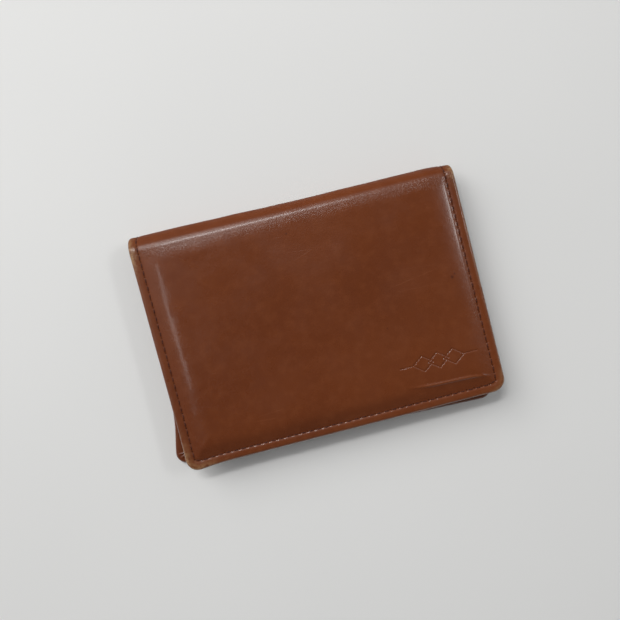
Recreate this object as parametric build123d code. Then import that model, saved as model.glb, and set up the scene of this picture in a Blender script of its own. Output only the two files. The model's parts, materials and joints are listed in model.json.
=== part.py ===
from build123d import *
import math
import os

# Folding leather business card case, lying closed on its back with the flap on top.
# X runs along the fold, the fold is at +Y, the free edges are at -Y and +Z points out of the flap.
# The origin is under the middle of the case, on the surface that it lies on. Lengths are in mm.

# Cover: one hide that runs from the back, round the fold, to the flap's free edge.
CASE_WIDTH = 110.0
FLAP_LENGTH = 78.8            # outside of the fold to the flap's free edge
BACK_LENGTH = 80.2            # the back stands a little proud of the flap
CORNER_R = 4.5
FOLD_SKEW = 1.1               # degrees that the flap and the back are each turned from the fold line
COVER_T = 0.9
BOARD_T = 0.4
TURN_IN_T = 0.7               # skived leather turned over the edge, flush with the lining
TURN_IN_WIDTH = 8.0
EDGE_WALL = 0.9               # leather round the edge of the board
PANEL_T = COVER_T + BOARD_T + TURN_IN_T

# Fold: a strip of cover between two creases, backed with tape and lining.
CREASE = 44.0                 # degrees from the middle of the fold to each crease
TAPE_T = 0.2
SPINE_LINING_T = 0.4

# Padded crown of the flap.
CROWN_H = 0.9
CROWN_INSET = 4.6             # where the crown starts to rise
CROWN_SLOPE = 7.0             # width of the slope round the flat middle
CROWN_CLEAR = 1.6             # flat strip between the fold and the crown

# Main card pocket on the back.
POCKET_GAP = 4.2
POCKET_LINING_T = 0.3
POCKET_T = 0.6
POCKET_WIDTH = 103.0
POCKET_HEIGHT = 52.0
POCKET_EDGE = 3.4             # bottom of the pocket to the back's free edge
POCKET_SLOPE = 5.0            # width of the slope at the pocket's bottom
POCKET_SCOOP = 4.0            # depth of the shallow scoop in the mouth
POCKET_FLOOR_GAP = 0.1
SCOOP_WIDTH = 60.0

# Flat slip pockets, one on the main pocket and one inside the flap.
SLIP_T = 0.6
SLIP_RECESS = 0.1             # room left for the first card
SLIP_BORDER = 3.0
CARD_SLOT_WIDTH = 98.0
CARD_SLOT_HEIGHT = 33.0
FLAP_SLIP_HEIGHT = 50.0
FLAP_SLIP_INSET = 1.6
AIR_GAP = 0.4

# V-folded gussets at the pocket's two ends.
GUSSET_TIP = 46.4             # half width left free between the gussets
GUSSET_ROOT = 51.4
GUSSET_WALL = 1.25            # measured along X

# Thread, laid in a shallow groove.
STITCH_PITCH = 2.62
STITCH_LENGTH = 1.9
STITCH_WIDTH = 0.5
STITCH_T = 0.24
STITCH_SEAT = 0.03            # clearance under a stitch
GROOVE_WIDTH = 1.0
GROOVE_DEPTH = 0.3
EDGE_SEAM_INSET = 3.0
SEAM_TOP_CLEAR = 0.6          # the side rows stop this far short of the fold line
FOLD_STITCHES = 3             # stitches round each end of the fold
INNER_SEAM_INSET = 1.8

# Stitch rows start this far from their groove's mouth, or this far above its floor.
THREAD_DOWN = GROOVE_DEPTH - STITCH_SEAT - STITCH_T
THREAD_UP = STITCH_SEAT - GROOVE_DEPTH

# Heights worked out from the stack.
POCKET_BASE_Z = PANEL_T + POCKET_GAP
POCKET_FACE_Z = POCKET_BASE_Z + POCKET_LINING_T
SLOT_Z = POCKET_FACE_Z + POCKET_T
FLAP_SLIP_Z = SLOT_Z + SLIP_T + AIR_GAP
FLAP_INNER_Z = FLAP_SLIP_Z + SLIP_T
CLOSED_H = FLAP_INNER_Z + PANEL_T
FOLD_R = CLOSED_H / 2

# The fold line's place puts the origin under the middle of the bounding box.
SKEW = math.radians(FOLD_SKEW)
CORNER_REACH = (
    (CASE_WIDTH / 2 - CORNER_R) * math.sin(SKEW)
    + (BACK_LENGTH - FOLD_R - CORNER_R) * math.cos(SKEW)
    + CORNER_R
)
FOLD_Y = (CORNER_REACH - FOLD_R) / 2
BACK_FREE_Y = FOLD_Y - (BACK_LENGTH - FOLD_R)
FLAP_FREE_Y = FOLD_Y - (FLAP_LENGTH - FOLD_R)
POCKET_FLOOR_Y = BACK_FREE_Y + POCKET_EDGE
POCKET_MOUTH_Y = POCKET_FLOOR_Y + POCKET_HEIGHT

# Panels run this far past the fold line before they are turned and trimmed on it,
# and cutters run further past the faces that they open.
OVERRUN = 2.0
BEYOND = 6.0
FAR = 300.0


def turned(shape, degrees):
    """Turn a shape about the upright line through the middle of the fold."""
    return Pos(0, FOLD_Y, 0) * Rot(0, 0, degrees) * Pos(0, -FOLD_Y, 0) * shape


def rounded_panel(free_y, inset, top_y, z_low, z_high):
    """A slab with two round corners at its free edge and a straight edge at top_y."""
    low = free_y + inset
    high = top_y + 2 * CORNER_R
    outline = RectangleRounded(CASE_WIDTH - 2 * inset, high - low, max(CORNER_R - inset, 0.5))
    slab = extrude(Pos(0, (low + high) / 2, z_low) * outline, z_high - z_low)
    keep = Pos(0, top_y - FAR / 2, (z_low + z_high) / 2) * Box(FAR, FAR, FAR)
    return slab & keep


def trimmed_at_fold(shape):
    """Keep what lies on the panel's side of the fold line."""
    return shape & (Pos(0, FOLD_Y - FAR / 2, 0) * Box(FAR, FAR, FAR))


def fold_arc(r_in, r_out, start, end):
    """A strip of the round fold between two angles, measured from +Y towards +Z."""
    outer = CenterArc((0, 0), r_out, start, end - start)
    inner = CenterArc((0, 0), r_in, start, end - start)
    section = make_face([outer, Line(outer @ 1, inner @ 1), inner, Line(inner @ 0, outer @ 0)])
    return Pos(-CASE_WIDTH / 2, FOLD_Y, FOLD_R) * extrude(Plane.YZ * section, CASE_WIDTH)


def seam_path(free_y, inset, top_y, z):
    """Open path down one side, round the free edge and up the other side."""
    x = CASE_WIDTH / 2 - inset
    low = free_y + inset
    corners = [(-x, top_y, z), (-x, low, z), (x, low, z), (x, top_y, z)]
    return FilletPolyline(*corners, radius=CORNER_R - inset)


def stitches(path):
    """Evenly spaced straight stitches that lie along a path and rise from it."""
    count = round(path.length / STITCH_PITCH)
    rows = []
    for i in range(count):
        at = (i + 0.5) / count
        point = path @ at
        along = path % at
        heading = math.degrees(math.atan2(along.Y, along.X))
        stitch = Pos(0, 0, STITCH_T / 2) * Box(STITCH_LENGTH, STITCH_WIDTH, STITCH_T)
        rows.append(Pos(point.X, point.Y, point.Z) * Rot(0, 0, heading) * stitch)
    return Compound(children=rows)


def groove(free_y, inset, top_y, depth):
    """Cutter for the groove that the edge seam lies in, open towards z = 0 and below."""
    half = GROOVE_WIDTH / 2
    outer = rounded_panel(free_y, inset - half, top_y, -depth, depth)
    inner = rounded_panel(free_y, inset + half, top_y + BEYOND, -2 * depth, 2 * depth)
    return outer - inner


def upside_down(shape):
    """Carry a panel built outer face down at z = 0 to the top of the closed case."""
    return Pos(0, 0, CLOSED_H) * mirror(shape, about=Plane.XY)


def cover_shell(free_y):
    """Outer leather with its turned-in edge, built outer face down at z = 0."""
    past_fold = FOLD_Y + BEYOND
    block = rounded_panel(free_y, 0, FOLD_Y + OVERRUN, 0, PANEL_T)
    board_room = rounded_panel(free_y, EDGE_WALL, past_fold, COVER_T, COVER_T + BOARD_T)
    window = rounded_panel(free_y, TURN_IN_WIDTH, past_fold, COVER_T, PANEL_T + 1)
    seam_groove = groove(free_y, EDGE_SEAM_INSET, FOLD_Y - SEAM_TOP_CLEAR, GROOVE_DEPTH)
    return block - board_room - window - seam_groove


def board(free_y):
    """Stiffening board inside a cover panel."""
    return rounded_panel(free_y, EDGE_WALL, FOLD_Y + OVERRUN, COVER_T, COVER_T + BOARD_T)


def lining(free_y):
    """Lining that fills the window between the turned-in edges."""
    low_z = COVER_T + BOARD_T
    return rounded_panel(free_y, TURN_IN_WIDTH, FOLD_Y + OVERRUN, low_z, PANEL_T)


def crown(inset, z_foot):
    """Low padded mound with sloping sides, rising towards -z from z_foot."""

    def outline(extra):
        low = FLAP_FREE_Y + inset + extra
        high = FOLD_Y - CROWN_CLEAR - extra
        width = CASE_WIDTH - 2 * (inset + extra)
        return Pos(0, (low + high) / 2) * RectangleRounded(width, high - low, 3.0)

    foot = Pos(0, 0, z_foot) * outline(0)
    head = Pos(0, 0, z_foot - CROWN_H) * outline(CROWN_SLOPE)
    return loft([foot, head])


def edge_stitching(free_y):
    """Stitches of the seam round a panel, inside the groove of its outer face."""
    path = seam_path(free_y, EDGE_SEAM_INSET, FOLD_Y - SEAM_TOP_CLEAR, THREAD_DOWN)
    return stitches(path)


# Cover, boards and lining of the back.
back_arc = fold_arc(FOLD_R - COVER_T, FOLD_R, -90, -45)
cover_back = turned(cover_shell(BACK_FREE_Y), -FOLD_SKEW)
cover_back = trimmed_at_fold(cover_back) + back_arc
back_stiffener = trimmed_at_fold(turned(board(BACK_FREE_Y), -FOLD_SKEW))
back_lining = trimmed_at_fold(turned(lining(BACK_FREE_Y), -FOLD_SKEW))
back_edge_stitching = turned(edge_stitching(BACK_FREE_Y), -FOLD_SKEW)

# Fold: the strip of cover, its tape and its lining between the two creases.
tape_r = FOLD_R - COVER_T - TAPE_T
cover_spine = fold_arc(FOLD_R - COVER_T, FOLD_R, -CREASE, CREASE)
spine_tape = fold_arc(tape_r, FOLD_R - COVER_T, -CREASE, CREASE)
spine_lining = fold_arc(tape_r - SPINE_LINING_T, tape_r, -CREASE, CREASE)

# The side seams carry on round the fold's two ends.
spine_stitches = []
for side in (-1, 1):
    x = side * (CASE_WIDTH / 2 - EDGE_SEAM_INSET)
    seam_ring = fold_arc(FOLD_R - GROOVE_DEPTH, FOLD_R + 1, -CREASE - 1, CREASE + 1)
    slice_box = Pos(x, FOLD_Y, FOLD_R) * Box(GROOVE_WIDTH, FAR, FAR)
    cover_spine = cover_spine - (seam_ring & slice_box)
    for i in range(FOLD_STITCHES):
        angle = 2 * CREASE * ((i + 0.5) / FOLD_STITCHES - 0.5)
        seat = FOLD_R - GROOVE_DEPTH + STITCH_SEAT + STITCH_T / 2
        stitch = Pos(0, seat, 0) * Box(STITCH_WIDTH, STITCH_T, STITCH_LENGTH)
        spine_stitches.append(Pos(x, FOLD_Y, FOLD_R) * Rot(angle, 0, 0) * stitch)
spine_edge_stitching = Compound(children=spine_stitches)

# Flap, padded and crowned.
flap_arc = fold_arc(FOLD_R - COVER_T, FOLD_R, 45, 90)
crown_outside = crown(CROWN_INSET, 0)
crown_inside = crown(CROWN_INSET + 0.8, COVER_T)
flap_shell = cover_shell(FLAP_FREE_Y) + crown_outside - crown_inside
cover_flap = trimmed_at_fold(turned(upside_down(flap_shell), FOLD_SKEW)) + flap_arc
flap_padding = turned(upside_down(crown_inside), FOLD_SKEW)
flap_stiffener = trimmed_at_fold(turned(upside_down(board(FLAP_FREE_Y)), FOLD_SKEW))
flap_lining = trimmed_at_fold(turned(upside_down(lining(FLAP_FREE_Y)), FOLD_SKEW))
flap_edge_stitching = turned(upside_down(edge_stitching(FLAP_FREE_Y)), FOLD_SKEW)


def slip_panel(width, low_y, high_y, corner):
    """Flat slip pocket, recessed for its first card, sewn on at both sides and along low_y."""
    height = high_y - low_y
    middle = (low_y + high_y) / 2
    slab = extrude(Pos(0, middle) * RectangleRounded(width, height, corner), SLIP_T)
    room = Box(width - 2 * SLIP_BORDER, height, 2 * SLIP_RECESS)
    return slab - Pos(0, middle + SLIP_BORDER, 0) * room


def mouth_path(width, y, z):
    """Straight stitch line along a pocket's mouth."""
    return Line((-width / 2, y, z), (width / 2, y, z))


# Slip pocket inside the flap, open towards the fold.
flap_slip_width = CASE_WIDTH - 2 * FLAP_SLIP_INSET
flap_slip_low = FLAP_FREE_Y + FLAP_SLIP_INSET
flap_slip_high = flap_slip_low + FLAP_SLIP_HEIGHT
flap_slip = slip_panel(flap_slip_width, flap_slip_low, flap_slip_high, 3.0)
flap_slip = Pos(0, 0, FLAP_INNER_Z) * mirror(flap_slip, about=Plane.XY)
flap_slip_groove_y = flap_slip_high - INNER_SEAM_INSET
flap_slip_groove = Pos(0, flap_slip_groove_y, FLAP_SLIP_Z) * Box(
    flap_slip_width - 4, GROOVE_WIDTH, 2 * GROOVE_DEPTH
)
flap_slip_pocket = turned(flap_slip - flap_slip_groove, FOLD_SKEW)
flap_slip_path = mouth_path(
    flap_slip_width - 6, flap_slip_groove_y, FLAP_SLIP_Z + THREAD_DOWN
)
flap_slip_stitching = turned(stitches(flap_slip_path), FOLD_SKEW)


def pocket_section():
    """Section of the main pocket's front: flat, then sloping down to its bottom seam."""
    foot = POCKET_FLOOR_Y
    floor_z = PANEL_T + POCKET_FLOOR_GAP
    knee = foot + POCKET_SLOPE
    return [
        (foot - 0.35, floor_z),
        (foot + 0.35, floor_z),
        (knee + 0.3, POCKET_FACE_Z),
        (POCKET_MOUTH_Y, POCKET_FACE_Z),
        (POCKET_MOUTH_Y, SLOT_Z),
        (knee - 0.3, SLOT_Z),
    ]


def mouth_scoop():
    """Cutter for the shallow curved scoop in the pocket's mouth."""
    radius = (SCOOP_WIDTH**2 / 4 + POCKET_SCOOP**2) / (2 * POCKET_SCOOP)
    centre_y = POCKET_MOUTH_Y - POCKET_SCOOP + radius
    return Pos(0, centre_y, SLOT_Z) * Cylinder(radius, 4.0)


# Main pocket front, leaning open on its bottom seam.
section = make_face(Polyline(*pocket_section(), close=True))
front = Pos(-POCKET_WIDTH / 2, 0, 0) * extrude(Plane.YZ * section, POCKET_WIDTH)
scoop = mouth_scoop()
gusset_seam_x = POCKET_WIDTH / 2 - INNER_SEAM_INSET
gusset_seam_low = POCKET_FLOOR_Y + POCKET_SLOPE + 1
gusset_seam_length = POCKET_MOUTH_Y - gusset_seam_low
gusset_seam_mid = (gusset_seam_low + POCKET_MOUTH_Y) / 2
groove_box = Box(GROOVE_WIDTH, gusset_seam_length, 2 * GROOVE_DEPTH)
for side in (-1, 1):
    front = front - Pos(side * gusset_seam_x, gusset_seam_mid, SLOT_Z) * groove_box
pocket_front = turned(front - scoop, -FOLD_SKEW)

lining_low = POCKET_FLOOR_Y + POCKET_SLOPE + 0.5
lining_high = POCKET_MOUTH_Y - 0.8
lining_slab = Pos(0, (lining_low + lining_high) / 2, POCKET_BASE_Z + POCKET_LINING_T / 2) * Box(
    2 * GUSSET_ROOT - 5, lining_high - lining_low, POCKET_LINING_T
)
pocket_front_lining = turned(lining_slab - Pos(0, -0.8, 0) * scoop, -FOLD_SKEW)

thread_z = SLOT_Z + THREAD_UP
gusset_stitchings = {}
for side, name in ((-1, "left"), (1, "right")):
    x = side * gusset_seam_x
    path = Line((x, gusset_seam_low, thread_z), (x, POCKET_MOUTH_Y - 0.4, thread_z))
    gusset_stitchings[name] = turned(stitches(path), -FOLD_SKEW)

# Card slot sewn on the main pocket.
slot_low = POCKET_FLOOR_Y + POCKET_SLOPE + 0.4
slot_high = slot_low + CARD_SLOT_HEIGHT
slot = Pos(0, 0, SLOT_Z) * slip_panel(CARD_SLOT_WIDTH, slot_low, slot_high, 1.5)
slot_top_z = SLOT_Z + SLIP_T
slot_seam_x = CARD_SLOT_WIDTH / 2 - INNER_SEAM_INSET
slot_seam_low = slot_low + INNER_SEAM_INSET
slot_seam_high = slot_high - INNER_SEAM_INSET


def seam_frame(x, low, high, z):
    """Stitch line down one side, along the bottom, up the other side and along the mouth."""
    return FilletPolyline(
        (-x, low, z), (x, low, z), (x, high, z), (-x, high, z), radius=1.2, close=True
    )


half_groove = GROOVE_WIDTH / 2
slot_groove = Box(
    2 * (slot_seam_x + half_groove), slot_seam_high - slot_seam_low + GROOVE_WIDTH, 2 * GROOVE_DEPTH
) - Box(
    2 * (slot_seam_x - half_groove), slot_seam_high - slot_seam_low - GROOVE_WIDTH, 3 * GROOVE_DEPTH
)
slot_groove = Pos(0, (slot_seam_low + slot_seam_high) / 2, slot_top_z) * slot_groove
card_slot = turned(slot - slot_groove, -FOLD_SKEW)
slot_path = seam_frame(slot_seam_x, slot_seam_low, slot_seam_high, slot_top_z + THREAD_UP)
card_slot_stitching = turned(stitches(slot_path), -FOLD_SKEW)


def gusset(side):
    """V-folded end of the pocket: two legs that meet in an inward fold."""
    low_z = PANEL_T
    high_z = POCKET_FACE_Z
    mid_z = (low_z + high_z) / 2
    inner_root = GUSSET_ROOT - GUSSET_WALL
    outline = [
        (GUSSET_ROOT, low_z),
        (GUSSET_TIP + GUSSET_WALL, mid_z),
        (GUSSET_ROOT, high_z),
        (inner_root, high_z),
        (GUSSET_TIP, mid_z),
        (inner_root, low_z),
    ]
    section = make_face(Polyline(*[(side * x, z) for x, z in outline], close=True))
    length = POCKET_MOUTH_Y - 0.4 - lining_low
    strip = extrude(Plane.XZ * section, length / 2, both=True)
    return turned(Pos(0, lining_low + length / 2, 0) * strip, -FOLD_SKEW)


nodes = {
    "cover_back": cover_back,
    "cover_spine": cover_spine,
    "cover_flap": cover_flap,
    "back_stiffener": back_stiffener,
    "back_lining": back_lining,
    "back_edge_stitching": back_edge_stitching,
    "spine_tape": spine_tape,
    "spine_lining": spine_lining,
    "spine_edge_stitching": spine_edge_stitching,
    "flap_padding": flap_padding,
    "flap_stiffener": flap_stiffener,
    "flap_lining": flap_lining,
    "flap_edge_stitching": flap_edge_stitching,
    "flap_slip_pocket": flap_slip_pocket,
    "flap_slip_stitching": flap_slip_stitching,
    "pocket_front": pocket_front,
    "pocket_front_lining": pocket_front_lining,
    "card_slot": card_slot,
    "card_slot_stitching": card_slot_stitching,
    "gusset_left": gusset(-1),
    "gusset_right": gusset(1),
    "gusset_left_stitching": gusset_stitchings["left"],
    "gusset_right_stitching": gusset_stitchings["right"],
}

os.makedirs("parts", exist_ok=True)
for name, shape in nodes.items():
    export_step(shape, f"parts/{name}.step")
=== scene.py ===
import json
import math

import bmesh
import bpy
import numpy as np
from mathutils import Matrix, Vector


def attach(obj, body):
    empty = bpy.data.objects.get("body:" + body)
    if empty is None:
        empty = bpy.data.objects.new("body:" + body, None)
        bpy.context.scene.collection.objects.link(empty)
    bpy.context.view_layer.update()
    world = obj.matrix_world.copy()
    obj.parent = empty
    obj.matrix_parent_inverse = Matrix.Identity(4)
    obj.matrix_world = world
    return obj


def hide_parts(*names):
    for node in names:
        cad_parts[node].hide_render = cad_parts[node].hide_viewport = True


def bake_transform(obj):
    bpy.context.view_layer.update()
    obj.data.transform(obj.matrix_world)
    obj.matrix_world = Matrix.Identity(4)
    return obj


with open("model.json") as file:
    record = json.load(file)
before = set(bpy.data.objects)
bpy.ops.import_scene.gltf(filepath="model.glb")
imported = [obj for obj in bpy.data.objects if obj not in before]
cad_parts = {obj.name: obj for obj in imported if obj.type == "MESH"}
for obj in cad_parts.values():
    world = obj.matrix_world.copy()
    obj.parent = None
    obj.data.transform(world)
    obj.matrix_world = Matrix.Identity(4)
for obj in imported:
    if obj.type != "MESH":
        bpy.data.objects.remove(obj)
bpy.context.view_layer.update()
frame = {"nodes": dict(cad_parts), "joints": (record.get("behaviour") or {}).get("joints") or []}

# Looks of a folding leather business card case. It lies closed on its back, flap up.
# Shapes are worked out in millimetres and turned into metres when a mesh is made.
MM = 0.001
RNG = np.random.default_rng(20)

# -------- sizes from the frame
JOINT = {j["name"]: [value / MM for value in j["pos_m"]] for j in frame["joints"]}
CLOSED_H = JOINT["spine_fold"][2] + JOINT["flap_fold"][2]
FOLD_R = CLOSED_H / 2
FOLD_OUT_Y = JOINT["spine_fold"][1] + JOINT["spine_fold"][2]
FOLD_Y = FOLD_OUT_Y - FOLD_R

# -------- sizes of the leatherwork
CASE_WIDTH = 110.0
FLAP_LENGTH = 78.8            # outside of the fold to the free edge
BACK_LENGTH = 80.2
CORNER_R = 4.5
SKEW = math.radians(1.1)      # turn of each panel against the fold line
PANEL_T = 2.0
EDGE_R = PANEL_T / 2          # bullnose of the turned edge
TURN_IN = 8.0                 # width of the leather turned to the inside
TURN_IN_T = 0.7
SEAM_INSET = 3.0
SEAM_R = CORNER_R - SEAM_INSET
STITCH_PITCH = 2.62
HALF_W = CASE_WIDTH / 2

# Fold: a flat strip at the middle, then a quarter round to each panel.
FOLD_FLAT = 0.5
BEND_R = FOLD_R - FOLD_FLAT
BEND_Y = FOLD_OUT_Y - BEND_R
BEND_LENGTH = FOLD_FLAT + BEND_R * math.pi / 2

CROWN_H = 0.95
CROWN_START = SEAM_INSET + 0.7
CROWN_RUN = 8.0
CROWN_POWER = 2.3
CROWN_PAST = 7.0              # how far it runs on into the fold
CROWN_FADE = 12.0             # run over which it fades out there
LEATHER_T = 0.9
EDGE_WALL = 0.85              # leather round the edge of the board

# What use has done: the fold's left end is pushed out, its right end has sunk, and the left free
# corners are pushed out. For the corners: push along X and Y, then its reach along X and Y.
FOLD_BOW = 0.65
BOW_START = 10.0              # X where the bow starts, and its run towards the left
BOW_RUN = 60.0
END_DROOP = 0.6
DROOP_START = 46.5            # X where the droop starts, and its run towards the right
DROOP_RUN = 9.0
FLAP_CORNER = (-0.35, -0.85, 8.0, 8.0)
BACK_CORNER = (-2.9, -0.2, 11.0, 12.0)

# Main card pocket and slip pockets, measured square to the back or the flap.
POCKET_FOOT = FOLD_Y - (BACK_LENGTH - FOLD_R) + 3.4
POCKET_HALF = 51.5
POCKET_HEIGHT = 52.0
POCKET_SLOPE = 5.0
POCKET_UNDER = 6.5            # height of the underside of the pocket's front
POCKET_TOP = 7.1
POCKET_MOUTH = POCKET_FOOT + POCKET_HEIGHT
SCOOP_DEPTH = 4.0
SCOOP_HALF = 30.0
SLOT_HALF = 49.0
SLOT_LOW = POCKET_FOOT + POCKET_SLOPE + 0.4
SLOT_HIGH = SLOT_LOW + 33.0
SLOT_TOP = 7.7
INNER_SEAM = 1.8
SLIP_INSET = 1.6
SLIP_HEIGHT = 50.0
SLIP_T = 0.6
SLIP_R = 3.0


def ease(t):
    """Smooth step from 0 to 1."""
    t = np.clip(t, 0, 1)
    return t * t * (3 - 2 * t)


def free_s(length):
    """Distance along the unbent hide from the middle of the fold to a panel's free edge."""
    return BEND_LENGTH + (BEND_Y - (FOLD_OUT_Y - length))


FLAP_S = free_s(FLAP_LENGTH)
BACK_S = free_s(BACK_LENGTH)


def wrap(x, s, h, side):
    """Carry unbent-hide coordinates to the closed case, in mm.

    s runs from the middle of the fold, h is the height above the outer face.
    side is 1 for the flap and -1 for the back.
    """
    x, s, h = np.broadcast_arrays(*(np.asarray(v, float) for v in (x, s, h)))
    turn = side * SKEW * ease(s / BEND_LENGTH)
    reach = s - BEND_LENGTH
    xr = x * np.cos(turn) + reach * np.sin(turn)
    sr = BEND_LENGTH + reach * np.cos(turn) - x * np.sin(turn)
    phi = np.clip((sr - FOLD_FLAT) / BEND_R, 0, math.pi / 2)
    past = np.maximum(sr - BEND_LENGTH, 0)
    short = np.minimum(sr - FOLD_FLAT, 0)
    bow = FOLD_BOW * ease((BOW_START - xr) / BOW_RUN) * np.cos(phi) ** 2
    droop = END_DROOP * ease((xr - DROOP_START) / DROOP_RUN) * np.cos(phi) ** 2
    y = BEND_Y + (BEND_R + h) * np.cos(phi) - past + bow - droop
    z = FOLD_R + FOLD_FLAT + (BEND_R + h) * np.sin(phi) + short
    push_x, push_y, reach_x, reach_y = FLAP_CORNER if side > 0 else BACK_CORNER
    corner_s = FLAP_S if side > 0 else BACK_S
    near = np.exp(-(((x + HALF_W) / reach_x) ** 2) - ((s - corner_s) / reach_y) ** 2)
    if side < 0:
        z = CLOSED_H - z
    return np.stack([xr + push_x * near, y + push_y * near, z], -1)


def pocket_place(x, y, z):
    """Turn a point of the pocket, given square to the back, to where the back lies."""
    x, y, z = np.broadcast_arrays(*(np.asarray(v, float) for v in (x, y, z)))
    c, d = math.cos(-SKEW), math.sin(-SKEW)
    return np.stack([x * c - (y - FOLD_Y) * d, x * d + (y - FOLD_Y) * c + FOLD_Y, z], -1)


# -------- mesh helpers
def set_mask(mesh, name, values):
    """Store a value per point, which materials read by name."""
    layer = mesh.attributes.get(name) or mesh.attributes.new(name, "FLOAT", "POINT")
    layer.data.foreach_set("value", np.asarray(values, np.float32))


def new_object(name, data):
    """A new object in the scene."""
    thing = bpy.data.objects.new(name, data)
    bpy.context.scene.collection.objects.link(thing)
    return thing


def make_mesh(name, points, faces, sharp=(), **masks):
    """A smooth-shaded mesh from points in mm, with named per-point masks."""
    mesh = bpy.data.meshes.new(name)
    mesh.from_pydata((np.asarray(points) * MM).tolist(), [], faces)
    mesh.validate()
    mesh.polygons.foreach_set("use_smooth", [True] * len(mesh.polygons))
    for key, values in masks.items():
        set_mask(mesh, key, values)
    if sharp:
        wanted = {tuple(sorted(pair)) for pair in sharp}
        flags = [tuple(sorted(e.vertices)) in wanted for e in mesh.edges]
        layer = mesh.attributes.new("sharp_edge", "BOOLEAN", "EDGE")
        layer.data.foreach_set("value", flags)
    return new_object(name, mesh)


def outward(piece):
    """Make a closed mesh's faces look outwards."""
    work = bmesh.new()
    work.from_mesh(piece.data)
    bmesh.ops.recalc_face_normals(work, faces=work.faces)
    work.to_mesh(piece.data)
    work.free()
    return piece


def spaced(stops, steps):
    """Grid lines through the stops, with the given largest step between each pair."""
    lines = [np.array([stops[0]])]
    for low, high, step in zip(stops[:-1], stops[1:], steps):
        count = max(1, math.ceil((high - low) / step - 1e-9))
        lines.append(np.linspace(low, high, count + 1)[1:])
    return np.concatenate(lines)


def grid_faces(rows, columns, start=0):
    """Quads of a rows x columns grid of points numbered row by row."""
    r, c = np.meshgrid(np.arange(rows - 1), np.arange(columns - 1), indexing="ij")
    a = (start + r * columns + c).ravel()
    return np.stack([a, a + 1, a + 1 + columns, a + columns], -1).tolist()


def join_loops(loops):
    """Quads between neighbouring closed loops of point numbers."""
    faces = []
    for low, high in zip(loops[:-1], loops[1:]):
        faces += zip(low, np.roll(low, -1), np.roll(high, -1), high)
    return faces


def border_loop(rows, columns):
    """Numbers of the points round a whole rows x columns grid."""
    return np.array(
        list(range(columns))
        + [i * columns + columns - 1 for i in range(1, rows)]
        + [(rows - 1) * columns + j for j in range(columns - 2, -1, -1)]
        + [i * columns for i in range(rows - 2, 0, -1)]
    )


def round_corners(u, v, flat_u, flat_v, radius):
    """Carry the grid's square corners, past flat_u and flat_v, to round ones of the same size."""
    past_u, past_v = (np.abs(u) - flat_u) / radius, (v - flat_v) / radius
    in_corner = (past_u > 0) & (past_v > 0)
    a, b = np.clip(past_u, 0, 1), np.clip(past_v, 0, 1)
    round_u = np.sign(u) * (flat_u + radius * a * np.sqrt(1 - b * b / 2))
    round_v = flat_v + radius * b * np.sqrt(1 - a * a / 2)
    return np.where(in_corner, round_u, u), np.where(in_corner, round_v, v)


def hash_noise(x, y, seed):
    """Soft value noise between -1 and 1, the same on every run."""
    xi, yi = np.floor(x).astype(int), np.floor(y).astype(int)
    fx, fy = ease(x - xi), ease(y - yi)

    def corner(i, j):
        value = np.sin(i * 127.1 + j * 311.7 + seed * 74.7) * 43758.5453
        return (value - np.floor(value)) * 2 - 1

    low = corner(xi, yi) * (1 - fx) + corner(xi + 1, yi) * fx
    high = corner(xi, yi + 1) * (1 - fx) + corner(xi + 1, yi + 1) * fx
    return low * (1 - fy) + high * fy


# -------- seams
def edge_inset(x, s, length_s):
    """Distance in from a panel's outline, which is open towards the fold."""
    qx = np.abs(x) - (HALF_W - CORNER_R)
    qs = s - (length_s - CORNER_R)
    outside = np.hypot(np.maximum(qx, 0), np.maximum(qs, 0))
    return CORNER_R - outside - np.minimum(np.maximum(qx, qs), 0)


def seam_holes(length_s):
    """Needle holes (x, s), evenly spaced along the U-shaped stitch line of one panel."""
    edge_x = HALF_W - SEAM_INSET
    side = length_s - SEAM_INSET - SEAM_R
    turn = SEAM_R * math.pi / 2
    length = 2 * (side + turn + edge_x - SEAM_R)
    count = round(length / STITCH_PITCH)
    holes = []
    for i in range(count + 1):
        d = length * min(i, count - i) / count
        if d < side:
            x, s = edge_x, d
        elif d < side + turn:
            angle = (d - side) / SEAM_R
            x, s = edge_x - SEAM_R * (1 - math.cos(angle)), side + SEAM_R * math.sin(angle)
        else:
            x, s = edge_x - SEAM_R - (d - side - turn), side + SEAM_R
        holes.append((x if 2 * i > count else -x, s))
    return holes


END_GAP = 0.34                # from the middle of a hole to the end of a stitch
THREAD_STEPS = 8              # along a stitch
THREAD_SIDES = 8              # round it
INNER_SINK = 0.22             # how deep the inner seams' threads dip
THREAD_SEAT = 0.08            # how far they are pulled into the leather
SEAM_DIP = 0.12               # groove along an inner seam


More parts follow.
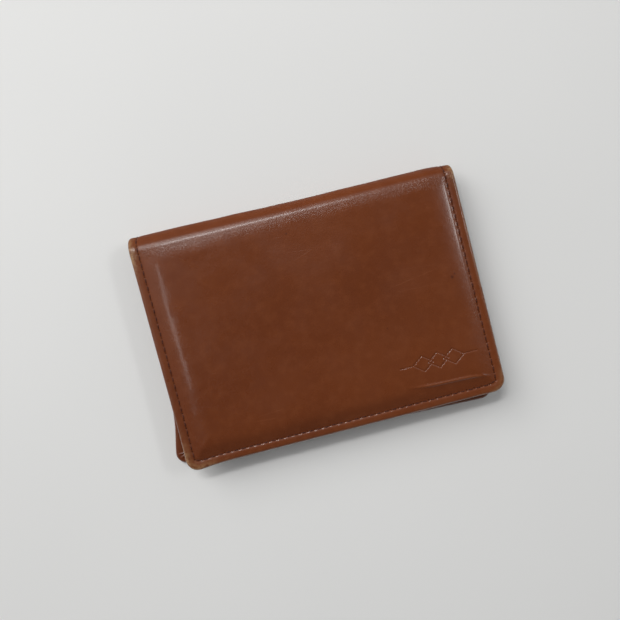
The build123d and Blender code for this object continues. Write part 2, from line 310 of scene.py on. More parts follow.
def thread_mesh(name, runs, place, face, sink=0.3, rise=0.05, radius=0.2, slant=0.14):
    """Stitches between neighbouring holes, each a thread that dips into both of them.

    runs is a list of rows of holes (a, b); place carries (a, b, height) to the case and
    face(a, b) is the height of the face that the row lies in, with the thread's top outwards.
    """
    turn = 2 * math.pi * np.arange(THREAD_SIDES) / THREAD_SIDES
    points, faces = [], []
    pairs = [pair for row in runs for pair in zip(row[:-1], row[1:])]
    for (a0, b0), (a1, b1) in pairs:
        run = math.hypot(a1 - a0, b1 - b0)
        ta, tb = (a1 - a0) / run, (b1 - b0) / run
        start = len(points) * THREAD_SIDES
        lean, height_off = RNG.normal(0, 0.03, 2)
        seat = face((a0 + a1) / 2, (b0 + b1) / 2)
        for k in range(THREAD_STEPS + 1):
            t = k / THREAD_STEPS
            lift = math.sin(math.pi * t) ** 0.5
            slope = math.cos(math.pi * t) * 1.1
            wide = radius * (0.75 + 0.3 * lift)
            up = wide * 0.75 * np.sin(turn)
            along = END_GAP + t * (run - 2 * END_GAP) - up * math.sin(slope) * 0.7
            across = slant * (t - 0.5) + lean * lift + wide * np.cos(turn)
            height = seat - sink + (sink + rise + height_off * 0.5) * lift + up * math.cos(slope)
            points.append(
                np.stack([a0 + ta * along - tb * across, b0 + tb * along + ta * across, height], -1)
            )
        rings = start + np.arange((THREAD_STEPS + 1) * THREAD_SIDES).reshape(-1, THREAD_SIDES)
        faces += [*join_loops(rings), tuple(rings[0][::-1]), tuple(rings[-1])]
    cols = np.concatenate(points)
    piece = outward(make_mesh(name, place(cols[:, 0], cols[:, 1], cols[:, 2]), faces))
    return paint(piece, THREAD)


def seam_dip(off):
    """Depth of the groove of an inner seam at a distance from the seam."""
    return SEAM_DIP * np.exp(-((off / 0.5) ** 2))


def row_of_holes(start, end):
    """Evenly spaced holes on a straight line."""
    count = max(1, round(math.dist(start, end) / STITCH_PITCH))
    return [
        (start[0] + (end[0] - start[0]) * i / count, start[1] + (end[1] - start[1]) * i / count)
        for i in range(count + 1)
    ]


# -------- the hide
INNER_R = CORNER_R - EDGE_R   # corner of the outer face, inside the bullnose
FLAT_X = HALF_W - CORNER_R
CORNER_STEPS = 24
NOSE_STEPS = 10
MARGIN_RINGS = (1.0, 1.4, 1.8, 2.2, 2.5, 2.75, 3.0, 3.25, 3.5, 4.0, 4.7, 5.5, 6.5, 7.4, 7.8)
CROWN_RINGS = (CROWN_START, 5.0, 6.5, 8.0, 10.0, CROWN_START + CROWN_RUN)
DIP_DEPTH = 0.2               # stitch line
PIT_DEPTH = 0.2               # needle holes
PIT_R = 0.34
SEARCH = 1.2                  # how far from a needle hole its pit is worked out
PLEATS = 7
PLEAT_DEPTH = 0.26
EDGE_SIDE_SHADE = 0.35              # how much painted shade darkens the outer side of the turned edge
VALLEY_SHADE = 0.16            # and the painted shade in the hollow between the seam and the crown
ORNAMENT_X = 35.0
ORNAMENT_UP = 15.5            # from the flap's free edge
ORNAMENT_LINE = 0.2
ORNAMENT_DEPTH = 0.17
LOZENGE_PITCH = 5.2
LOZENGE_X, LOZENGE_S = 3.4, 2.6   # half of its size
LOZENGE_STEP = 2.05           # from its middle to its side
BAR_X, BAR_HALF = 11.2, 1.9
VALLEY_UP, VALLEY_WIDTH = 5.2, 1.9
# Crease in the crown at the flap's lower right: distance from the free edge at places along X.
CREASE_X = (22, 26, 34, 40, 45, 50, 53)
CREASE_UP = (8.8, 8.4, 7.5, 7.5, 7.2, 5.8, 4.6)
CREASE_FROM, CREASE_IN = 20, 12   # X where it starts, and the run over which it comes in
CREASE_TO, CREASE_OUT = 52.0, 8
CREASE_RISE, CREASE_WIDTH = 0.3, 0.5
DENT_DEPTH, DENT_WIDTH = 0.14, 1.3
DENT_DOWN = 1.9               # from the crease towards the free edge
NOT_OUTSIDE = 20.0            # added to the edge mask of points that aren't on the outside
OUTSIDE_BELOW = 15.0          # edge values on the outside, near the edge, are less than this


def groove_height(e, x, s, holes):
    """Dip of the stitch line, and deeper pits at the needle holes; also the pits' mask, which the
    leather uses for painted shade in the holes.
    """
    off = e - SEAM_INSET
    dip = -DIP_DEPTH * np.exp(-((off / 0.6) ** 2))
    pits = np.zeros_like(e)
    near = np.abs(off) < SEARCH
    px, ps, po = x[near], s[near], off[near]
    value = np.zeros_like(px)
    for hx, hs in holes:
        close = (np.abs(px - hx) < SEARCH) & (np.abs(ps - hs) < SEARCH)
        d2 = (px[close] - hx) ** 2 + (ps[close] - hs) ** 2
        spread = d2 / PIT_R**2 + po[close] ** 2 * 4
        value[close] = np.maximum(value[close], np.exp(-spread))
    pits[near] = value
    return dip - PIT_DEPTH * pits, pits


def crown_height(e, s):
    """Padded crown inside the seam, fading out into the fold."""
    t = np.clip((e - CROWN_START) / CROWN_RUN, 0, 1)
    pillow = 1 - (1 - t) ** CROWN_POWER
    return CROWN_H * pillow * ease((s - BEND_LENGTH + CROWN_PAST) / CROWN_FADE)


def ornament_height(x, s):
    """Debossed plain ornament: a row of three linked lozenges between two short bars."""
    depth = np.zeros_like(x)
    cx, cs = ORNAMENT_X, FLAP_S - ORNAMENT_UP
    for i in (-1, 0, 1):
        away = np.abs(x - cx - i * LOZENGE_PITCH) / LOZENGE_X + np.abs(s - cs) / LOZENGE_S
        d = np.abs(away - 1) * LOZENGE_STEP
        depth = np.maximum(depth, np.exp(-((d / ORNAMENT_LINE) ** 2)))
    for i in (-1, 1):
        along = np.maximum(np.abs(x - cx - i * BAR_X) - BAR_HALF, 0)
        d = np.hypot(along, s - cs)
        depth = np.maximum(depth, np.exp(-((d / ORNAMENT_LINE) ** 2)))
    return depth


def crease_relief(x, up):
    """Ridge of the crease and the dent below it, and the ridge's mask for a painted highlight. up
    is from the free edge.
    """
    line = np.polyval(np.polyfit(CREASE_X, CREASE_UP, 4), np.clip(x, CREASE_FROM, CREASE_TO + 2))
    off = up - line
    ends = ease((x - CREASE_FROM) / CREASE_IN) * ease((CREASE_TO - x) / CREASE_OUT)
    ridge = np.exp(-((off / CREASE_WIDTH) ** 2)) * ends
    dent = np.exp(-(((off + DENT_DOWN) / DENT_WIDTH) ** 2)) * ends
    return CREASE_RISE * ridge - DENT_DEPTH * dent, ridge


def hide_grid(length_s, x_stops, x_steps, s_stops, s_steps):
    """Points (x, s) of the outer face, with the grid lines carried round the two free corners."""
    flat_s = length_s - CORNER_R
    corner = np.linspace(0, INNER_R, CORNER_STEPS + 1)[1:]
    middle = spaced([-FLAT_X, *x_stops, FLAT_X], x_steps)
    xs = np.concatenate([-FLAT_X - corner[::-1], middle, FLAT_X + corner])
    ss = np.concatenate([spaced([0, *s_stops, flat_s], s_steps), flat_s + corner])
    return round_corners(*np.meshgrid(xs, ss), FLAT_X, flat_s, INNER_R)


def face_relief(X, S, side, length_s, crown, holes):
    """Height of the outer face over its flat, and its masks."""
    E = edge_inset(X, S, length_s)
    dip, pits = groove_height(E, X, S, holes)
    uneven = 0.05 * hash_noise(X / 9, S / 9, 3) + 0.03 * hash_noise(X / 4, S / 4, 5)
    H = dip * ease((E - EDGE_R) / 0.8)
    H = H + crown * (crown_height(E, S) + uneven * ease((E - 4) / 6))
    pressed = np.zeros_like(X)
    crease = np.zeros_like(X)
    if side > 0:
        # The ridge's mask paints a highlight on the crease.
        creased, crease = crease_relief(X, length_s - S)
        pressed = ornament_height(X, S)
        H = H + creased - ORNAMENT_DEPTH * pressed
    # Painted shade along the hollow between the free edge's seam and the crown.
    valley = np.exp(-(((length_s - S - VALLEY_UP) / VALLEY_WIDTH) ** 2))
    valley = valley * ease((HALF_W - np.abs(X) - 2) / 5)
    masks = {
        # Painted shade in the needle holes, from the pits' mask.
        "hole_and_pleat_shade": pits, "pressed": pressed, "crease": crease, "edge": E,
        "side": VALLEY_SHADE * crown * valley,
    }
    return H, masks


class HideEdge:
    """The border of a panel's outer face, which rings carry round the edge and inwards."""

    def __init__(self, x, s, length_s):
        self.x = x
        self.s = s
        self.length_s = length_s
        self.flat_s = length_s - CORNER_R
        self.past_x = np.abs(x) - FLAT_X
        self.past_s = s - self.flat_s
        self.hand = np.sign(x)
        self.in_arc = (self.past_x > 0) & (self.past_s > 0)
        turn = np.arctan2(np.maximum(self.past_s, 0), np.maximum(self.past_x, 1e-9))
        self.angle = np.where((self.past_x <= 0) & (self.past_s > 0), math.pi / 2, turn)
        self.pleat = np.abs(np.sin(PLEATS * self.angle)) ** 0.8 * self.in_arc

    def ring(self, inset):
        """The border's points (x, s) at a distance in from the panel's outline."""
        radius = max(CORNER_R - inset, 1.5)
        reach_x = HALF_W - inset - radius
        reach_s = self.length_s - inset - radius
        round_x = self.hand * (reach_x + radius * np.cos(self.angle))
        round_s = reach_s + radius * np.sin(self.angle)
        x = np.where(self.past_x > 0, round_x, self.x * reach_x / FLAT_X)
        s = np.where(self.past_s > 0, round_s, self.s * reach_s / self.flat_s)
        return x, s

    def hole_mask(self, holes):
        """1 beside a needle hole, fading out along the border."""
        step = EDGE_R - SEAM_INSET
        mask = np.zeros(len(self.x))
        for hx, hs in holes:
            d2 = (self.x + self.hand * step * (self.past_x > 0) - hx) ** 2
            d2 += (self.s + step * (self.past_s > 0) - hs) ** 2
            mask = np.maximum(mask, np.exp(-d2 / 0.4**2))
        return mask

    def margin_relief(self, inset, near_hole):
        """Pleats and inner stitch line of the turned-in margin: its lift, and the painted shade
        between its pleats and by its needle holes.
        """
        strength = ease((inset - 0.6) / 1.2) * ease((7.0 - inset) / 3.5)
        seam = math.exp(-(((inset - SEAM_INSET) / 0.45) ** 2))
        lift = seam * (0.12 + 0.2 * near_hole)
        lift = lift - strength * (PLEAT_DEPTH * self.pleat - 0.08 * self.in_arc)
        dark = strength * 0.6 * (1 - self.pleat) * self.in_arc + seam * near_hole
        return lift, dark


def edge_rings():
    """Rings (inset, height): round the edge, over the margin, and back in the cavity."""
    rings = []
    for k in range(1, NOSE_STEPS):
        theta = math.pi * k / NOSE_STEPS
        rings.append((EDGE_R - EDGE_R * math.sin(theta), EDGE_R * (math.cos(theta) - 1)))
    rings += [(inset, -PANEL_T) for inset in MARGIN_RINGS]
    under = -PANEL_T + TURN_IN_T
    rings += [(TURN_IN, -PANEL_T + 0.12), (TURN_IN + 0.1, under), (EDGE_WALL, under)]
    return rings + [(inset, -LEATHER_T) for inset in (EDGE_WALL, *CROWN_RINGS)]


def hide(name, side, length_s, crown, x_stops, x_steps, s_stops, s_steps):
    """One half of the hide: outer face, turned edge and margin, and the cavity for the board."""
    X, S = hide_grid(length_s, x_stops, x_steps, s_stops, s_steps)
    holes = seam_holes(length_s)
    H, face_masks = face_relief(X, S, side, length_s, crown, holes)
    rows, columns = X.shape
    points = [wrap(X, S, H, side).reshape(-1, 3)]
    faces = grid_faces(rows, columns)
    masks = {key: [values.ravel()] for key, values in face_masks.items()}

    # Border of the outer face, from the fold down one side, along and up the other.
    border = np.append(border_loop(rows, columns)[columns - 1:], 0)[::-1]
    edge = HideEdge(X.ravel()[border], S.ravel()[border], length_s)
    near_hole = edge.hole_mask(holes)
    plain = np.zeros(len(border))
    loops = [border]
    count = X.size
    for inset, height in edge_rings():
        lift, dark = plain, plain
        if height == -PANEL_T:
            lift, dark = edge.margin_relief(inset, near_hole)
        elif height == -LEATHER_T:
            lift = crown * crown_height(plain + inset, edge.s)
        points.append(wrap(*edge.ring(inset), height + lift, side))
        # Painted shade between the margin's pleats and by its needle holes.
        masks["hole_and_pleat_shade"].append(dark)
        masks["pressed"].append(plain)
        masks["crease"].append(plain)
        masks["edge"].append(plain + inset + NOT_OUTSIDE * (height <= -EDGE_R))
        # Painted shade on the outer side of the turned edge.
        masks["side"].append(plain + EDGE_SIDE_SHADE * (-1.5 < height < -0.55))
        loops.append(np.arange(count, count + len(border)))
        count += len(border)
    for low, high in zip(loops[:-1], loops[1:]):
        faces += zip(low[1:], low[:-1], high[:-1], high[1:])
    # Underside of the outer leather: a strip across for each row of the sides, then the rest.
    last, sides = loops[-1], rows - 1
    other = last[::-1]
    faces += zip(last[:sides], last[1:rows], other[1:rows], other[:sides])
    faces.append(tuple(last[sides: len(last) - sides]))
    # Closing face where this half of the hide meets the other at the middle of the fold.
    rings = np.array(loops[1:])
    end = [*range(columns), *rings[:, -1], *rings[::-1, 0]]
    faces.append(tuple(end))
    cut = list(zip(end, end[1:] + end[:1]))
    stacked = {key: np.concatenate(values) for key, values in masks.items()}
    piece = make_mesh(name, np.concatenate(points), faces, sharp=cut, **stacked)
    return outward(piece), holes


# -------- flat and bent panels
def panel_solid(name, us, vs, place, thick, top_h, round_v=None, rim=0.2, shape=None):
    """A sheet of leather or cloth with softly rounded edges.

    us and vs are grid lines, place(u, v, h) carries a point to the case, top_h(u, v) is the
    height of the upper face and shape(u, v) may move the outline's points in the plane.
    Past round_v the two corners are rounded to SLIP_R.
    """
    U, V = np.meshgrid(us, vs)
    if round_v is not None:
        U, V = round_corners(U, V, us[-1] - SLIP_R, round_v, SLIP_R)
    if shape:
        U, V = shape(U, V)
    rows, columns = U.shape
    top = top_h(U, V)
    border = border_loop(rows, columns)
    bu, bv, bt = (m.ravel()[border] for m in (U, V, top))
    du, dv = np.roll(bu, -1) - np.roll(bu, 1), np.roll(bv, -1) - np.roll(bv, 1)
    size = np.hypot(du, dv)
    nu, nv = dv / size, -du / size
    half_t = thick / 2
    points = [place(U, V, top).reshape(-1, 3)]
    faces = [f[::-1] for f in grid_faces(rows, columns)]
    loops = [border]
    count = rows * columns
    for k in range(1, 6):
        theta = math.pi * k / 6
        out = rim * math.sin(theta)
        points.append(place(bu + nu * out, bv + nv * out, bt - half_t + half_t * math.cos(theta)))
        loops.append(np.arange(count, count + len(border)))
        count += len(border)
    points.append(place(U, V, top - thick).reshape(-1, 3))
    faces += grid_faces(rows, columns, count)
    loops.append(border + count)
    return outward(make_mesh(name, np.concatenate(points), faces + join_loops(loops)))


# -------- materials
def colour(r, g, b):
    """Linear colour from 0-255 display values."""
    out = []
    for value in (r, g, b):
        c = value / 255
        out.append(c / 12.92 if c <= 0.04045 else ((c + 0.055) / 1.055) ** 2.4)
    return (*out, 1)


class Nodes:
    """Short calls to build a node tree. Inputs are numbers, colours or other nodes' sockets."""

    def __init__(self, tree):
        self.tree = tree

    def add(self, kind, inputs=None, **settings):
        """A new node with its inputs and settings."""
        node = self.tree.nodes.new(kind)
        for key, value in settings.items():
            setattr(node, key, value)
        for key, value in (inputs or {}).items():
            self.put(node.inputs[key], value)
        return node

    def put(self, socket, value):
        """Set a socket to a constant or link it to another socket."""
        if isinstance(value, (int, float, tuple)):
            socket.default_value = value
        else:
            self.tree.links.new(value, socket)

    def ramp(self, value, low, high, to_low=0.0, to_high=1.0):
        span = {"From Min": low, "From Max": high, "To Min": to_low, "To Max": to_high}
        node = self.add(
            "ShaderNodeMapRange", {"Value": value, **span}, interpolation_type="SMOOTHSTEP"
        )
        return node.outputs["Result"]

    def math(self, kind, a, b=0.0, clamp=False):
        return self.add("ShaderNodeMath", {0: a, 1: b}, operation=kind, use_clamp=clamp).outputs[0]


class Material(Nodes):
    """The same for a new material with one principled shader."""

    def __init__(self, name):
        self.material = bpy.data.materials.new(name)
        self.material.use_nodes = True
        super().__init__(self.material.node_tree)
        self.tree.nodes.clear()
        out = self.add("ShaderNodeOutputMaterial")
        self.bsdf = self.add("ShaderNodeBsdfPrincipled")
        self.put(out.inputs["Surface"], self.bsdf.outputs["BSDF"])
        self.coords = self.add("ShaderNodeTexCoord").outputs["Object"]

    def mapped(self, scale, turn=0.0):
        """Object coordinates, turned about Z and scaled."""
        inputs = {"Vector": self.coords, "Scale": scale, "Rotation": (0, 0, turn)}
        return self.add("ShaderNodeMapping", inputs).outputs["Vector"]

    def noise(self, scale, detail=3.0, rough=0.55, vector=None):
        inputs = {"Scale": scale, "Detail": detail, "Roughness": rough}
        inputs["Vector"] = vector or self.coords
        return self.add("ShaderNodeTexNoise", inputs).outputs["Fac"]

    def cells(self, scale, feature="F1", vector=None, **extra):
        inputs = {"Scale": scale, "Vector": vector or self.coords, **extra}
        return self.add("ShaderNodeTexVoronoi", inputs, feature=feature).outputs["Distance"]

    def wave(self, direction, scale, distortion, detail):
        inputs = {"Scale": scale, "Distortion": distortion, "Detail": detail, "Vector": self.coords}
        node = self.add("ShaderNodeTexWave", inputs, bands_direction=direction)
        return node.outputs["Fac"]

    def mix(self, fac, a, b, kind="MIX"):
        inputs = {"Factor": fac, 6: a, 7: b}
        return self.add("ShaderNodeMix", inputs, data_type="RGBA", blend_type=kind).outputs[2]

    def mask(self, name):
        return self.add("ShaderNodeAttribute", attribute_name=name).outputs["Fac"]

    def bump(self, height, strength, distance, normal=None):
        inputs = {"Height": height, "Strength": strength, "Distance": distance}
        if normal:
            inputs["Normal"] = normal
        return self.add("ShaderNodeBump", inputs).outputs["Normal"]

    def finish(self, base, rough, normal, **others):
        """Set the shader's inputs, with _ for a space in a name, and give the material."""
        inputs = {"Base Color": base, "Roughness": rough, "Normal": normal, **others}
        for key, value in inputs.items():
            self.put(self.bsdf.inputs[key.replace("_", " ")], value)
        return self.material


def glazed_leather(name, *tones, gloss=0.28, wear_and_edge_highlight=1.0):
    """Smooth glazed leather: mottled brown, fine pores, soft creases, scuffs and worn edges, with
    painted shade and painted highlights from the hide's masks.
    """
    base, deep, light, worn = (colour(*tone) for tone in tones)
    n = Material(name)
    broad = n.noise(26, 4, 0.6)
    fine = n.noise(320, 3, 0.6)
    tone = n.mix(n.ramp(broad, 0.25, 0.75), deep, base)
    tone = n.mix(n.ramp(fine, 0.4, 0.75, 0.0, 0.22), tone, light)
    # Faint specks and short scratches.
    specks = n.ramp(n.cells(150, vector=n.mapped((1, 1, 1), 0.7)), 0.0, 0.16, 1.0, 0.0)
    specks = n.math("MULTIPLY", specks, n.ramp(n.noise(45, 2), 0.6, 0.7))
    streak_space = n.mapped((22, 190, 60), 0.5)
    streaks = n.ramp(n.cells(1.0, "DISTANCE_TO_EDGE", streak_space), 0.0, 0.02, 1.0, 0.0)
    streaks = n.math("MULTIPLY", streaks, n.ramp(n.noise(60, 2, 0.5), 0.62, 0.72))
    marks = n.math("MAXIMUM", n.math("MULTIPLY", specks, 0.5), streaks)
    tone = n.mix(n.math("MULTIPLY", marks, 0.35), tone, light)
    # Painted shade in the needle holes and between the pleats, burnished pressed lines, a painted
    # highlight on the crease's ridge, stains, and the tan of worn edges.
    hole_and_pleat_shade = n.mask("hole_and_pleat_shade")
    for mask, low, high, most, tint in (
        (hole_and_pleat_shade, 0.25, 0.85, 0.85, colour(38, 14, 7)),
        (n.mask("pressed"), 0.1, 0.9, 0.3, deep),
        # Painted highlight on the crease's ridge.
        (n.mask("crease"), 0.15, 0.9, 0.45, light),
        (n.mask("stain"), 0.3, 0.9, 0.55, colour(52, 16, 8)),
    ):
        tone = n.mix(n.ramp(mask, low, high, 0.0, most), tone, tint)
    # Painted shade on the outer side of the turned edge and in the hollow near the free edge.
    tone = n.mix(n.mask("side"), tone, deep, "MULTIPLY")
    # The wear mask also carries a painted highlight line along the right edge.
    rub_and_highlight = n.math("MULTIPLY", n.mask("wear_and_edge_highlight"), n.ramp(n.noise(900, 3, 0.7), 0.3, 0.62))
    tone = n.mix(n.math("MULTIPLY", rub_and_highlight, wear_and_edge_highlight, clamp=True), tone, worn)
    rough = n.ramp(n.noise(70, 4, 0.6), 0.25, 0.75, gloss - 0.05, gloss + 0.07)
    rough = n.math("ADD", rough, n.math("MULTIPLY", rub_and_highlight, 0.25))
    dull = n.math("MAXIMUM", n.ramp(hole_and_pleat_shade, 0.03, 0.4), n.mask("dull"))
    rough = n.math("ADD", rough, n.math("MULTIPLY", dull, 0.25))
    # Relief: pores, a pebble that is barely there, slow waves, marks, and the fold's wrinkles.
    pores = n.cells(2400, "SMOOTH_F1", Smoothness=0.6)
    normal = n.bump(pores, 0.10, 0.00012)
    normal = n.bump(n.noise(1300, 4, 0.65), 0.16, 0.0002, normal)
    normal = n.bump(n.noise(260, 3, 0.5), 0.10, 0.0006, normal)
    normal = n.bump(marks, 0.12, 0.0002, normal)
    wrinkles = n.noise(1.0, 4, 0.65, n.mapped((1400, 1000, 1000), 0.35))
    wrinkles = n.math("MULTIPLY", wrinkles, n.mask("ridge"))
    normal = n.bump(wrinkles, 0.75, 0.0004, normal)
    return n.finish(
        tone, rough, normal, Specular_IOR_Level=n.ramp(dull, 0.0, 1.0, 0.3, 0.12),
        Coat_Weight=n.ramp(dull, 0.0, 1.0, 0.45, 0.0),
        Coat_Roughness=n.ramp(n.mask("ridge"), 0.0, 1.0, 0.14, 0.22),
    )


def woven_cloth(name, base, shade, pitch=0.00042):
    """Fine plain-weave lining."""
    n = Material(name)
    scale = 1 / pitch / 20 * math.pi
    weave = n.math("MULTIPLY", n.wave("X", scale, 0.6, 1.0), n.wave("Y", scale, 0.6, 1.0))
    tone = n.mix(n.ramp(weave, 0.1, 0.8), shade, base)
    tone = n.mix(n.ramp(n.noise(90, 3), 0.35, 0.75, 0.0, 0.4), tone, shade)
    normal = n.bump(weave, 0.5, 0.00015)
    normal = n.bump(n.noise(150, 3), 0.15, 0.0006, normal)
    return n.finish(tone, 0.78, normal, Sheen_Weight=0.1, Sheen_Roughness=0.4)


def fibrous(name, base, shade, grain=700, rough=0.85):
    """Pressed board, felt or tape: matted fibres."""
    n = Material(name)
    fibres = n.noise(1.0, 4, 0.7, n.mapped((grain, grain * 0.35, grain)))
    tone = n.mix(n.ramp(fibres, 0.3, 0.7), shade, base)
    tone = n.mix(n.ramp(n.noise(60, 2), 0.4, 0.8, 0, 0.3), tone, shade)
    normal = n.bump(fibres, 0.5, 0.0003)
    return n.finish(tone, rough, normal)


def thread_material(name, base, shade):
    """Twisted sewing thread with a dull sheen."""
    n = Material(name)
    ply = n.wave("DIAGONAL", 900, 1.5, 2.0)
    tone = n.mix(n.ramp(ply, 0.15, 0.8), shade, base)
    tone = n.mix(n.ramp(n.noise(400, 2), 0.4, 0.8, 0, 0.5), tone, shade)
    normal = n.bump(ply, 0.6, 0.00012)
    return n.finish(tone, 0.6, normal, Specular_IOR_Level=0.25)


HIDE = glazed_leather("hide_leather", (104, 50, 19), (95, 44, 16), (123, 67, 36), (158, 124, 88))
INNER = glazed_leather(
    "inner_leather", (100, 44, 18), (88, 36, 13), (122, 64, 36), (140, 98, 64), gloss=0.42, wear_and_edge_highlight=0.6
)
LINING = woven_cloth("lining_cloth", colour(98, 48, 24), colour(64, 28, 13))
BOARD = fibrous("fibre_board", colour(150, 140, 120), colour(112, 100, 82))
FELT = fibrous("felt_wadding", colour(205, 200, 190), colour(170, 164, 152), 420)
TAPE = fibrous("woven_tape", colour(200, 192, 172), colour(160, 150, 128), 1400)
THREAD = thread_material("dark_thread", colour(84, 36, 18), colour(50, 18, 9))


def paint(piece, material):
    """Give a piece one material."""
    piece.data.materials.clear()
    piece.data.materials.append(material)
    return piece


# -------- hide, its masks and its seams
def read(data, key, width=1):
    """One property of all of a mesh's points, as one row of numbers."""
    values = np.empty(len(data) * width, np.float32)
    data.foreach_get(key, values)
    return values


# Places rubbed down to tan: (x, y, z, radius, strength), at the ends of the fold and the corners.
RUBBED = {
    "hide_flap": [
        (-54, 35, 10, 5.5, 1.0), (54.5, 37.5, 9, 3.5, 0.9), (-52, -38, 10, 8, 0.8),
        (56, -35, 10, 4.5, 0.5),
    ],
    "hide_back": [
        (-54, 35, 1, 6, 0.9), (54.5, 37, 1, 5, 0.8), (-58, -37, 1, 7, 0.7), (52, -39, 1, 6, 0.5),
    ],
}
# Small dark stains on the flap: (x, y, radius).
STAINS = [(46.6, 3.5, 0.7), (47.6, 4.4, 0.4), (-3.0, 30.0, 0.5), (22.0, -8.0, 0.35)]


def wear_and_highlight_masks(piece):
    """Tan wear on exposed edges, strongest at the rubbed places, a painted highlight line along the
    right edge, and the fold's fine wrinkles.
    """
    px, py, pz = read(piece.data.vertices, "co", 3).reshape(-1, 3).astype(float).T / MM
    edge = read(piece.data.attributes["edge"].data, "value")
    rim = np.exp(-np.maximum(edge, 0) / 0.8) * (edge < OUTSIDE_BELOW)
    total = 0.18 * rim * (0.6 + 0.4 * hash_noise(px / 3, py / 3, 9))
    # Painted highlight: a thin light line along the right edge's bullnose, added to the wear mask.
    line = np.exp(-(((edge - 0.42) / 0.16) ** 2)) * ease((px - 40) / 10)
    total += 0.5 * line * (0.7 + 0.3 * hash_noise(px / 2, py / 4, 2))
    for x, y, z, radius, strength in RUBBED[piece.name]:
        d = np.sqrt((px - x) ** 2 + (py - y) ** 2 + (pz - z) ** 2)
        spot = strength * np.exp(-((d / radius) ** 2)) * (edge < OUTSIDE_BELOW)
        total += spot * np.exp(-((np.maximum(edge, 0) / 1.7) ** 2))
    set_mask(piece.data, "wear_and_edge_highlight", np.clip(total, 0, 1))
    stains = np.zeros(len(px))
    for x, y, radius in STAINS:
        d2 = (px - x) ** 2 + (py - y) ** 2
        stains += np.exp(-d2 / radius**2) * (pz > FOLD_R)
    set_mask(piece.data, "stain", stains)
    past_fold = py - FOLD_Y
    set_mask(piece.data, "ridge", np.exp(-(((past_fold - 0.6) / 2.6) ** 2)))
    in_seam = 0.6 * np.exp(-(((edge - SEAM_INSET) / 0.7) ** 2))
    set_mask(piece.data, "dull", np.maximum(ease((past_fold - 1.5) / 1.4) * 0.95, in_seam))


def bend_flap(piece):
    """Bake a flap-side piece's placement into its mesh."""
    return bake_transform(piece)


def bend_back(piece):
    """The same for a back-side piece."""
    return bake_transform(piece)


flap_hide, flap_holes = hide(
    "hide_flap", 1, FLAP_S, 1.0,
    x_stops=[20, 50], x_steps=[0.42, 0.17, 0.3],
    s_stops=[BEND_LENGTH, FLAP_S - 20, FLAP_S - 4.6], s_steps=[0.3, 0.4, 0.17, 0.3],
)
back_hide, back_holes = hide(
    "hide_back", -1, BACK_S, 0.0,
    x_stops=[], x_steps=[0.42], s_stops=[BEND_LENGTH], s_steps=[0.3, 0.4],
)
for piece in (flap_hide, back_hide):
    wear_and_highlight_masks(piece)
    paint(piece, HIDE)
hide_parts("cover_flap", "cover_spine")
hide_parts("cover_back")
bend_flap(flap_hide)
bend_back(back_hide)


def outside(side):
    """Placement (a, b, height) over the outer face of the flap (1) or the back (-1)."""
    return lambda a, b, h: wrap(a, b, h, side)


def inside(side):
    """Placement with the height measured from the outer face inwards."""
    return lambda a, b, h: wrap(a, b, -h, side)


def level(height):
    """A flat face for a row of stitches."""
    return lambda a, b: height


SLIP_END = FLAP_S - SLIP_INSET
SLIP_MOUTH = SLIP_END - SLIP_HEIGHT
GROOVE_FLOOR = -0.17
BACK_DEEPER = 0.04            # how much deeper the back's threads sit


def inner_flap_face(a, b):
    """Height of the flap's inside under the edge seam: the slip pocket, then the margin."""
    return PANEL_T + (SLIP_T if b > SLIP_MOUTH else 0) - THREAD_SEAT


flap_thread = thread_mesh("flap_edge_thread", [flap_holes], outside(1), level(GROOVE_FLOOR))
back_thread = thread_mesh(
    "back_edge_thread", [back_holes], outside(-1), level(GROOVE_FLOOR - BACK_DEEPER)
)
flap_inner = thread_mesh("flap_inner_thread", [flap_holes], inside(1), inner_flap_face)
back_inner = thread_mesh(
    "back_inner_thread", [back_holes], inside(-1), level(PANEL_T - THREAD_SEAT - BACK_DEEPER)
)
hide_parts("flap_edge_stitching", "spine_edge_stitching")
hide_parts("back_edge_stitching")
bend_flap(flap_thread)
bend_flap(flap_inner)
bend_back(back_thread)
bend_back(back_inner)

# -------- linings and tape
LINING_LAP = 0.9              # over the turned-in margin
LINING_T = 0.45
LINING_HALF = HALF_W - TURN_IN + LINING_LAP
TAPE_HALF = 51.0
TAPE_REACH = 5.2              # from the middle of the fold
TAPE_T = 0.2


def lining(name, side, length_s):
    """Cloth over the board, its folded border just on top of the turned-in leather."""
    end_s = length_s - TURN_IN + LINING_LAP
    us = spaced([-LINING_HALF, LINING_HALF], [1.2])
    vs = spaced([0, BEND_LENGTH, end_s], [0.3, 1.2])

    def height(u, v):
        border = np.minimum(LINING_HALF - np.abs(u), end_s - v)
        loose = 0.05 * hash_noise(u / 7, v / 7, 12) * ease(border / 6)
        return -PANEL_T + loose - 0.10 * ease((1.6 - border) / 1.6)

    piece = panel_solid(name, us, vs, outside(side), -LINING_T, height)
    return paint(piece, LINING)


def tape_half(name, side):
    """Half of the reinforcing tape glued behind the leather of the fold."""
    us = spaced([-TAPE_HALF, TAPE_HALF], [2.0])
    vs = spaced([0, TAPE_REACH], [0.35])

    def height(u, v):
        return np.full_like(u, -LEATHER_T - 0.02)

    piece = panel_solid(name, us, vs, outside(side), TAPE_T, height, rim=0.05)
    return paint(piece, TAPE)


flap_lining = lining("lining_flap", 1, FLAP_S)
back_lining = lining("lining_back", -1, BACK_S)
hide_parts("flap_lining", "spine_lining")
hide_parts("back_lining")
flap_tape = tape_half("tape_flap_side", 1)
back_tape = tape_half("tape_back_side", -1)
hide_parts("spine_tape")
bend_flap(flap_lining)
bend_back(back_lining)
bend_flap(flap_tape)
bend_back(back_tape)

# -------- boards and wadding
PAD_INSET = 5.5


